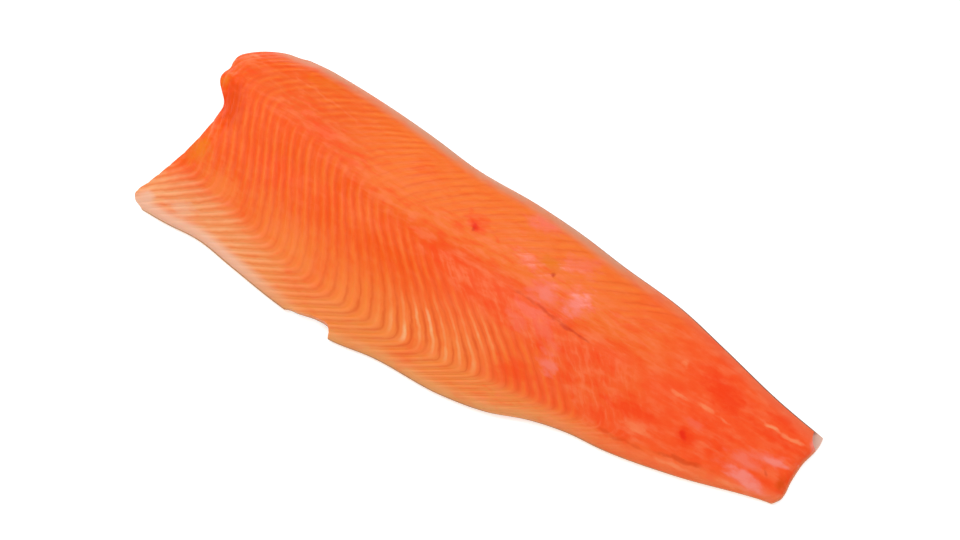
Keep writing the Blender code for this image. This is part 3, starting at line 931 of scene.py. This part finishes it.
def fleshMaterial():
    look = fleshLook
    material, tree, shader = newMaterial("rawSalmonFlesh", look["shader"])
    place = tree.nodes.new("ShaderNodeTexCoord").outputs["Object"]
    split = addNode(tree, "ShaderNodeSeparateXYZ", {0: place})
    along = split.outputs[0]
    across = split.outputs[1]
    flat = combine(tree, along, across)

    def field(name):
        return surfaceField(tree, name)

    def noise(scale, detail=2.0, vector=place):
        return noiseAt(tree, vector, scale, detail)

    def strip(value, name):
        return ramp(tree, value, *fleshStrips[name])

    def zone(name):
        low, high, *shares = fleshZones[name]
        return ramp(tree, along, low - middleX, high - middleX, *shares)

    def bandPlace(count, perBand, perMetre):
        rest = [product(tree, way, perMetre) for way in (across, along)]
        return combine(tree, product(tree, count, perBand), *rest)

    def twoTone(share, first, second):
        return mixColour(tree, share, fleshColours[first], fleshColours[second])

    def over(colour, mask, name):
        return mixColour(tree, mask, colour, fleshColours[name])

    # fat lines, each with its own changes of width and strength
    coarse = minus(tree, noise(60.0), 0.5)
    fine = minus(tree, noise(230.0), 0.5)
    band = plus(tree, field("band"), product(tree, coarse, look["lineWander"]))
    band = plus(tree, band, product(tree, fine, zone("lineFray")))
    nearest = calc(tree, "ROUND", band)
    away = calc(tree, "ABSOLUTE", minus(tree, band, nearest))
    ownNoise = noise(1.0, 3.0, bandPlace(nearest, 5.37, 50.0))
    aboveBend = field("aboveBellyBend")
    flap = strip(aboveBend, "flap")
    headFlap = product(tree, flap, zone("headFlap"))
    back = strip(field("aboveBackBend"), "back")
    width = plus(tree, look["lineWidth"], product(tree, ownNoise, look["ownWidth"]))
    width = plus(tree, width, product(tree, headFlap, look["headFlapWidth"]))
    nearBend = product(tree, strip(aboveBend, "streaksLow"), strip(aboveBend, "streaksHigh"))
    streaks = product(tree, nearBend, zone("streaksFrom"), zone("streaksTo"))
    width = minus(tree, width, product(tree, streaks, look["streakThinning"]))
    fat = ramp(tree, away, product(tree, width, look["lineCore"]), width, 1.0, 0.0)
    deepFrom = plus(tree, look["deepFrom"], product(tree, headFlap, look["headFlapDeep"]))
    deep = ramp(tree, away, deepFrom, look["deepTo"])
    clear = field("lineShare")
    show = product(tree, clear, ramp(tree, ownNoise, *look["ownShow"]))
    breaks = product(tree, back, ramp(tree, ownNoise, *look["backBreaks"]))
    show = product(tree, show, minus(tree, 1.0, breaks))

    # flank, loin, flap and tail
    colour = twoTone(zone("middle"), "flank", "middle")
    low = product(tree, strip(aboveBend, "flankLow"), zone("flankLowFrom"), zone("flankLowTo"))
    colour = over(colour, low, "flankLow")
    backColour = twoTone(zone("backMiddle"), "back", "backMiddle")
    colour = mixColour(tree, back, colour, backColour)
    colour = over(colour, zone("tail"), "tail")
    flapColour = twoTone(zone("flap"), "headFlap", "flap")
    nearEdge = ramp(tree, field("fromBelly"), *look["edgeTone"], 1.0, zone("edgeTone"))
    flapShare = product(tree, flap, nearEdge, zone("flapTo"))
    colour = mixColour(tree, flapShare, colour, flapColour)
    tone = noise(24.0, 3.0)
    colour = over(colour, ramp(tree, tone, *look["tonePale"]), "backMiddle")
    colour = over(colour, ramp(tree, tone, *look["toneRed"]), "ruddy")

    # smeared flesh, where the bands hardly show: soft blotches, and broken strokes along the bands
    smeared = product(tree, ramp(tree, clear, *look["smeared"]), zone("smearedTo"))
    blotch = stretchedNoise(tree, place, look["blotchStretch"], 4.0)
    alongBands = noise(1.0, 3.0, bandPlace(band, 2.3, 60.0))
    alongFish = stretchedNoise(tree, place, look["strokeStretch"], 4.0)
    onFlank = product(tree, strip(field("aboveBackBend"), "bandStrokes"), zone("bandStrokesTo"))
    stroke = plus(tree, alongFish, product(tree, onFlank, minus(tree, alongBands, alongFish)))
    for pattern, pale, red in ((blotch, "blotchPale", "blotchRed"), (stroke, "strokePale", "strokeRed")):
        for limits, name in ((look[pale], "softPale"), (look[red], "ruddy")):
            colour = over(colour, product(tree, ramp(tree, pattern, *limits), smeared), name)

    # painted shade: the muscle between the fat lines is darkened, brown on the head flap
    deepColour = twoTone(headFlap, "deepLine", "brownLine")
    colour = mixColour(tree, product(tree, deep, show, look["deepShare"]), colour, deepColour)
    lineColour = twoTone(headFlap, "fatLine", "paleLine")
    streakColour = twoTone(ramp(tree, ownNoise, *look["brightStreaks"]), "streakLine", "paleLine")
    lineColour = mixColour(tree, streaks, lineColour, streakColour)
    colour = mixColour(tree, product(tree, fat, show), colour, lineColour)

    # marks, with edges that wander
    shift = vectorCalc(tree, "SUBTRACT", noiseAt(tree, place, 70.0, 2.0, "Color"), (0.5, 0.5, 0.5))
    shifted = vectorCalc(tree, "ADD", flat, scaled(tree, shift, look["markWander"]))
    warped = vectorCalc(tree, "MULTIPLY", shifted, (1.0, 1.0, 0.0))
    tatter = minus(tree, stretchedNoise(tree, place, look["tatterStretch"], 4.0), 0.5)
    masks = {}
    for name, marks in fleshMarks.items():
        mask = 0.0
        for amount, raggedness, *sizes in marks:
            ragged = product(tree, tatter, 2.0 * raggedness)
            oval = ovalMask(tree, warped, ragged, *sizes)
            mask = calc(tree, "MAXIMUM", mask, product(tree, oval, amount))
        masks[name] = mask
        colour = over(colour, mask, name)
    # the pink patches are painted sheen; the same mask also makes them really glossier
    wetness = calc(tree, "MAXIMUM", masks["wet"], masks["wetPale"])

    # rims, and cut faces and side walls darkened as painted shade
    breaks = ramp(tree, noise(45.0, 3.0), *look["edgeBreaks"])
    tan = product(tree, strip(field("fromBelly"), "edgeTan"), zone("edgeTanFrom"), zone("edgeTanTo"))
    colour = over(colour, product(tree, tan, breaks, look["edgeTanShare"]), "edgeTan")
    bellyRim = product(tree, strip(field("fromBelly"), "bellyRim"), zone("bellyRimTo"))
    colour = over(colour, product(tree, bellyRim, look["bellyRimShare"]), "paleRim")
    backRim = product(tree, strip(field("fromBack"), "backRim"), breaks)
    colour = over(colour, product(tree, backRim, zone("backRimTo")), "backRim")
    # painted shade: the walls and cut faces, off the top, are darkened
    wall = minus(tree, 1.0, field("onTop"))
    colour = over(colour, product(tree, wall, look["wallShare"]), "sideWall")
    tree.links.new(colour, shader.inputs["Base Color"])

    film = {"Place": place, "Wetness": product(tree, wetness, 0.5), **look["film"]}
    addFilm(tree, shader, film, *look["bump"])
    coat = plus(tree, look["coat"], product(tree, wetness, look["wetCoat"]))
    tree.links.new(coat, shader.inputs["Coat Weight"])
    return material


runTree(flesh, reliefTree(), reliefSizes, fleshMaterial())
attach(flesh, "root")
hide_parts("fillet")
print("flesh relief done")


# The skin under the flesh, with its scales

skinShape = {
    "thickness": 0.0009,
    "lift": 0.00045,  # room for the scales between the skin and the ground
    "start": -0.02,
    "end": 0.6,
    "step": 0.0031,
    "acrossRows": 72,
    "backRows": 8,
    "bellyRows": 4,
    "rimRows": 3,  # rows at each edge with the colour of the rim
    "bareRows": 5,  # rows at each edge without scales
    "bareCuts": 0.003,  # distance from the cuts without scales
    "paleTip": (0.549, 0.553),  # the bare corner at the tail, along
}
scaleSizes = {
    "Scale Length": 0.0046,
    "Scale Width": 0.004,
    "Scale Thickness": 0.00022,
    "Scale Tilt": 4.0,  # degrees
    "Smallest": 0.92,
    "Largest": 1.08,
    "Seed": 7,
}


def skinRings():
    shape = skinShape
    x = np.arange(shape["start"], shape["end"], shape["step"])
    belly, back = edgesAt(x)
    backTop = fleshHeight(x, back)
    bellyTop = fleshHeight(x, belly)
    lift = shape["lift"]
    outer = []
    for row in range(shape["backRows"] + 1):
        turn = 0.5 * math.pi * row / shape["backRows"]
        outer.append(edgeWall(back, sideShape["backUndercut"], lift, backTop, turn))
    flatBack = back - sideShape["backUndercut"]
    width = belly + sideShape["bellyUndercut"] - flatBack
    for row in range(1, shape["acrossRows"]):
        outer.append((flatBack + width * row / shape["acrossRows"], np.full_like(x, lift)))
    for row in range(shape["bellyRows"], -1, -1):
        turn = 0.5 * math.pi * row / shape["bellyRows"]
        outer.append(edgeWall(belly, -sideShape["bellyUndercut"], lift, bellyTop, turn))
    y, z = np.stack(outer, -1)
    runY = np.gradient(y, axis=1)
    runZ = np.gradient(z, axis=1)
    size = np.hypot(runY, runZ)
    inY = y + shape["thickness"] * runZ / size
    inZ = z - shape["thickness"] * runY / size
    keep = np.arange(y.shape[1] - 1, -1, -2)
    ring = np.concatenate([np.stack([y, z], -1), np.stack([inY, inZ], -1)[:, keep]], 1)
    xs = np.broadcast_to(x[:, None, None], ring.shape[:2] + (1,))
    rings = toFrame(np.concatenate([xs, ring], -1))
    normals = np.zeros_like(rings)
    normals[..., 2] = -1.0
    normals[:, :y.shape[1], 1] = -runZ / size
    normals[:, :y.shape[1], 2] = runY / size
    return rings, normals, y.shape[1]


def scaleTree():
    tree, given, result = geometryTree("fishScales", scaleSizes)
    lens = addNode(tree, "GeometryNodeMeshUVSphere", {"Segments": 7, "Rings": 2, "Radius": 0.5})
    size = combine(tree, *(given["Scale " + name] for name in ("Length", "Width", "Thickness")))
    tilt = combine(tree, 0.0, calc(tree, "RADIANS", product(tree, given["Scale Tilt"], -1.0)))
    scale = addNode(tree, "GeometryNodeTransform", {"Geometry": lens.outputs[0], "Scale": size})
    tilted = addNode(tree, "GeometryNodeTransform", {"Geometry": scale.outputs[0], "Rotation": tilt})
    inputs = {0: pointField(tree, "scaleSpot"), 1: 0.5}
    chosen = addNode(tree, "FunctionNodeCompare", inputs, operation="GREATER_THAN").outputs[0]
    inputs = {"Vector": pointField(tree, "outward", "FLOAT_VECTOR")}
    facing = addNode(tree, "FunctionNodeAlignRotationToVector", inputs, axis="Z")
    headed = addNode(tree, "FunctionNodeAlignRotationToVector", {
        "Rotation": facing.outputs[0], "Vector": (1.0, 0.0, 0.0),
    }, axis="X", pivot_axis="Z")
    vary = addNode(tree, "FunctionNodeRandomValue", {
        2: given["Smallest"], 3: given["Largest"], "Seed": given["Seed"],
    }, data_type="FLOAT")
    placed = addNode(tree, "GeometryNodeInstanceOnPoints", {
        "Points": given["Geometry"], "Selection": chosen, "Instance": tilted.outputs[0],
        "Rotation": headed.outputs[0], "Scale": vary.outputs[1],
    })
    both = tree.nodes.new("GeometryNodeJoinGeometry")
    tree.links.new(placed.outputs[0], both.inputs[0])
    tree.links.new(given["Geometry"], both.inputs[0])
    finishTree(tree, both.outputs[0], given["Material"], result[0])
    return tree


skinColours = palette(
    belly=(206, 204, 196), flank=(168, 170, 166), back=(84, 88, 84), backEdge=(146, 100, 76),
    bellyEdge=(228, 168, 118), inner=(240, 196, 178), spot=(52, 54, 52),
)
skinLook = {
    "mottle": 0.12,
    "flank": (0.1, 0.45),  # shares of the width, from the belly, where each colour takes over
    "back": (0.62, 0.92),
    "spots": (0.7, 0.85),
    "rim": (0.3, 0.7),
    "spotScale": 70.0,
    "spotReach": (0.1, 0.22, 1.0, 0.0),
    "spotShare": 0.8,
    "film": {"Dry Roughness": 0.4, "Wet Roughness": 0.22, "Fibre Stretch": (500.0, 500.0, 500.0)},
    "bump": (0.2, 0.0002),
    "shader": {"Metallic": 0.35, "Coat Weight": 0.3, "Coat Roughness": 0.15},
}


def skinMaterial():
    look = skinLook
    material, tree, shader = newMaterial("wetSalmonSkin", look["shader"])
    place = tree.nodes.new("ShaderNodeTexCoord").outputs["Object"]
    share = surfaceField(tree, "acrossShare")
    rim = surfaceField(tree, "rim")
    mottle = minus(tree, noiseAt(tree, place, 60.0, 3.0), 0.5)
    moved = plus(tree, share, product(tree, mottle, look["mottle"]))
    colour = mixColour(tree, ramp(tree, moved, *look["flank"]), skinColours["belly"], skinColours["flank"])
    colour = mixColour(tree, ramp(tree, moved, *look["back"]), colour, skinColours["back"])
    inputs = {"Vector": place, "Scale": look["spotScale"], "Randomness": 1.0}
    spots = addNode(tree, "ShaderNodeTexVoronoi", inputs).outputs["Distance"]
    dark = product(tree, ramp(tree, spots, *look["spotReach"]), ramp(tree, moved, *look["spots"]))
    colour = mixColour(tree, product(tree, dark, look["spotShare"]), colour, skinColours["spot"])
    edges = ramp(tree, share, *look["rim"])
    rimColour = mixColour(tree, edges, skinColours["bellyEdge"], skinColours["backEdge"])
    colour = mixColour(tree, rim, colour, rimColour)
    colour = mixColour(tree, surfaceField(tree, "inner"), colour, skinColours["inner"])
    tree.links.new(colour, shader.inputs["Base Color"])
    addFilm(tree, shader, {"Place": place, **look["film"]}, *look["bump"])
    return material


def skinFields(mesh, rings, outerCount):  # also says which loft point each mesh point is nearest to
    tree = KDTree(rings.shape[0] * rings.shape[1])
    for index, point in enumerate(rings.reshape(-1, 3)):
        tree.insert(point, index)
    tree.balance()
    places = pointsOf(mesh)
    around = rings.shape[1]
    known = [tree.find(point) for point in places]
    index = np.array([found[1] for found in known])
    uncut = np.array([found[2] for found in known]) < 1e-5
    column = index // around
    row = index % around
    x = places[:, 0] + middleX
    y = places[:, 1] + middleY
    belly, back = edgesAt(x)
    fromCuts = np.minimum(depthBehind(x, y, headLine), depthBehind(x, y, tailLine))
    fromCuts = np.minimum(fromCuts, np.abs(depthBehind(x, y, nickLine)))
    bare = skinShape["bareRows"]
    covered = (row > bare) & (row < outerCount - bare) & (fromCuts > skinShape["bareCuts"])
    rim = skinShape["rimRows"]
    innerSide = (row >= outerCount + 2) & (row < around - 2)
    fields = {
        "scaleSpot": uncut & covered & ((column + row) % 2 == 0),
        "acrossShare": (y - belly) / (back - belly),
        "rim": np.where((row >= rim) & (row < outerCount - rim), 0.0, 1.0),
        "inner": np.maximum(innerSide, smoothStep(x, *skinShape["paleTip"])),
    }
    return fields, index


rings, normals, outerCount = skinRings()
skin = addObject("salmonSkin", loftMesh("salmonSkin", rings))
cutWith(skin, [headKnife, tailKnife, nickKnife])
fields, nearest = skinFields(skin.data, rings, outerCount)
writeFields(skin.data, fields)
outward = skin.data.attributes.new("outward", "FLOAT_VECTOR", "POINT")
outward.data.foreach_set("vector", normals.reshape(-1, 3)[nearest].astype(np.float32).ravel())
runTree(skin, scaleTree(), scaleSizes, skinMaterial())
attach(skin, "root")
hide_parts("fillet")
print("skin and scales:", len(skin.data.polygons), "faces")
for knife in (headKnife, tailKnife, nickKnife, tipKnife):
    bpy.data.objects.remove(knife)


# Ground, light and camera

stageLook = {
    "groundSize": 6.0,
    "groundShader": {
        "Base Color": (0.95, 0.95, 0.95, 1.0),
        "Roughness": 0.9,
        "Emission Color": (1.0, 1.0, 1.0, 1.0),
        "Emission Strength": 0.38,
    },
    "worldStrength": 0.3,
}
lights = {  # power, size, place
    "keyLight": (25.0, 1.3, (-1.3, 0.2, 1.7)),
    "fillLight": (13.5, 1.6, (1.5, -0.6, 1.5)),
    "backLight": (9.0, 0.6, (-0.2, 1.15, 1.9)),
}
cameraLook = {
    "azimuth": 31.02,
    "elevation": 70.0,
    "distance": 1.7589,
    "aim": (-0.0142, 0.0141, 0.0),
    "lens": 85.0,
}


def makeGround():
    half = stageLook["groundSize"] / 2
    corners = [(-half, -half, 0), (half, -half, 0), (half, half, 0), (-half, half, 0)]
    ground = addObject("ground", meshFromArrays("ground", corners, [np.arange(4)]))
    ground.data.materials.append(newMaterial("paleGround", stageLook["groundShader"])[0])


def makeLight(name, power, size, place):
    light = bpy.data.lights.new(name, "AREA")
    light.energy = power
    light.size = size
    lamp = addObject(name, light)
    lamp.location = place
    lamp.rotation_euler = Vector(place).to_track_quat("Z", "Y").to_euler()


def makeCamera():
    azimuth = math.radians(cameraLook["azimuth"])
    elevation = math.radians(cameraLook["elevation"])
    back = Vector((
        math.sin(azimuth) * math.cos(elevation),
        -math.cos(azimuth) * math.cos(elevation),
        math.sin(elevation),
    ))
    camera = bpy.data.cameras.new("photoCamera")
    camera.lens = cameraLook["lens"]
    holder = addObject("photoCamera", camera)
    holder.location = Vector(cameraLook["aim"]) + back * cameraLook["distance"]
    holder.rotation_euler = (-back).to_track_quat("-Z", "Y").to_euler()
    bpy.context.scene.camera = holder


makeGround()
for name, look in lights.items():
    makeLight(name, *look)
world = bpy.data.worlds.new("paleRoom")
world.use_nodes = True
background = world.node_tree.nodes["Background"]
background.inputs[0].default_value = (1.0, 1.0, 1.0, 1.0)
background.inputs[1].default_value = stageLook["worldStrength"]
bpy.context.scene.world = world
bpy.context.scene.view_settings.view_transform = "Standard"
makeCamera()
print("ground, light and camera done")
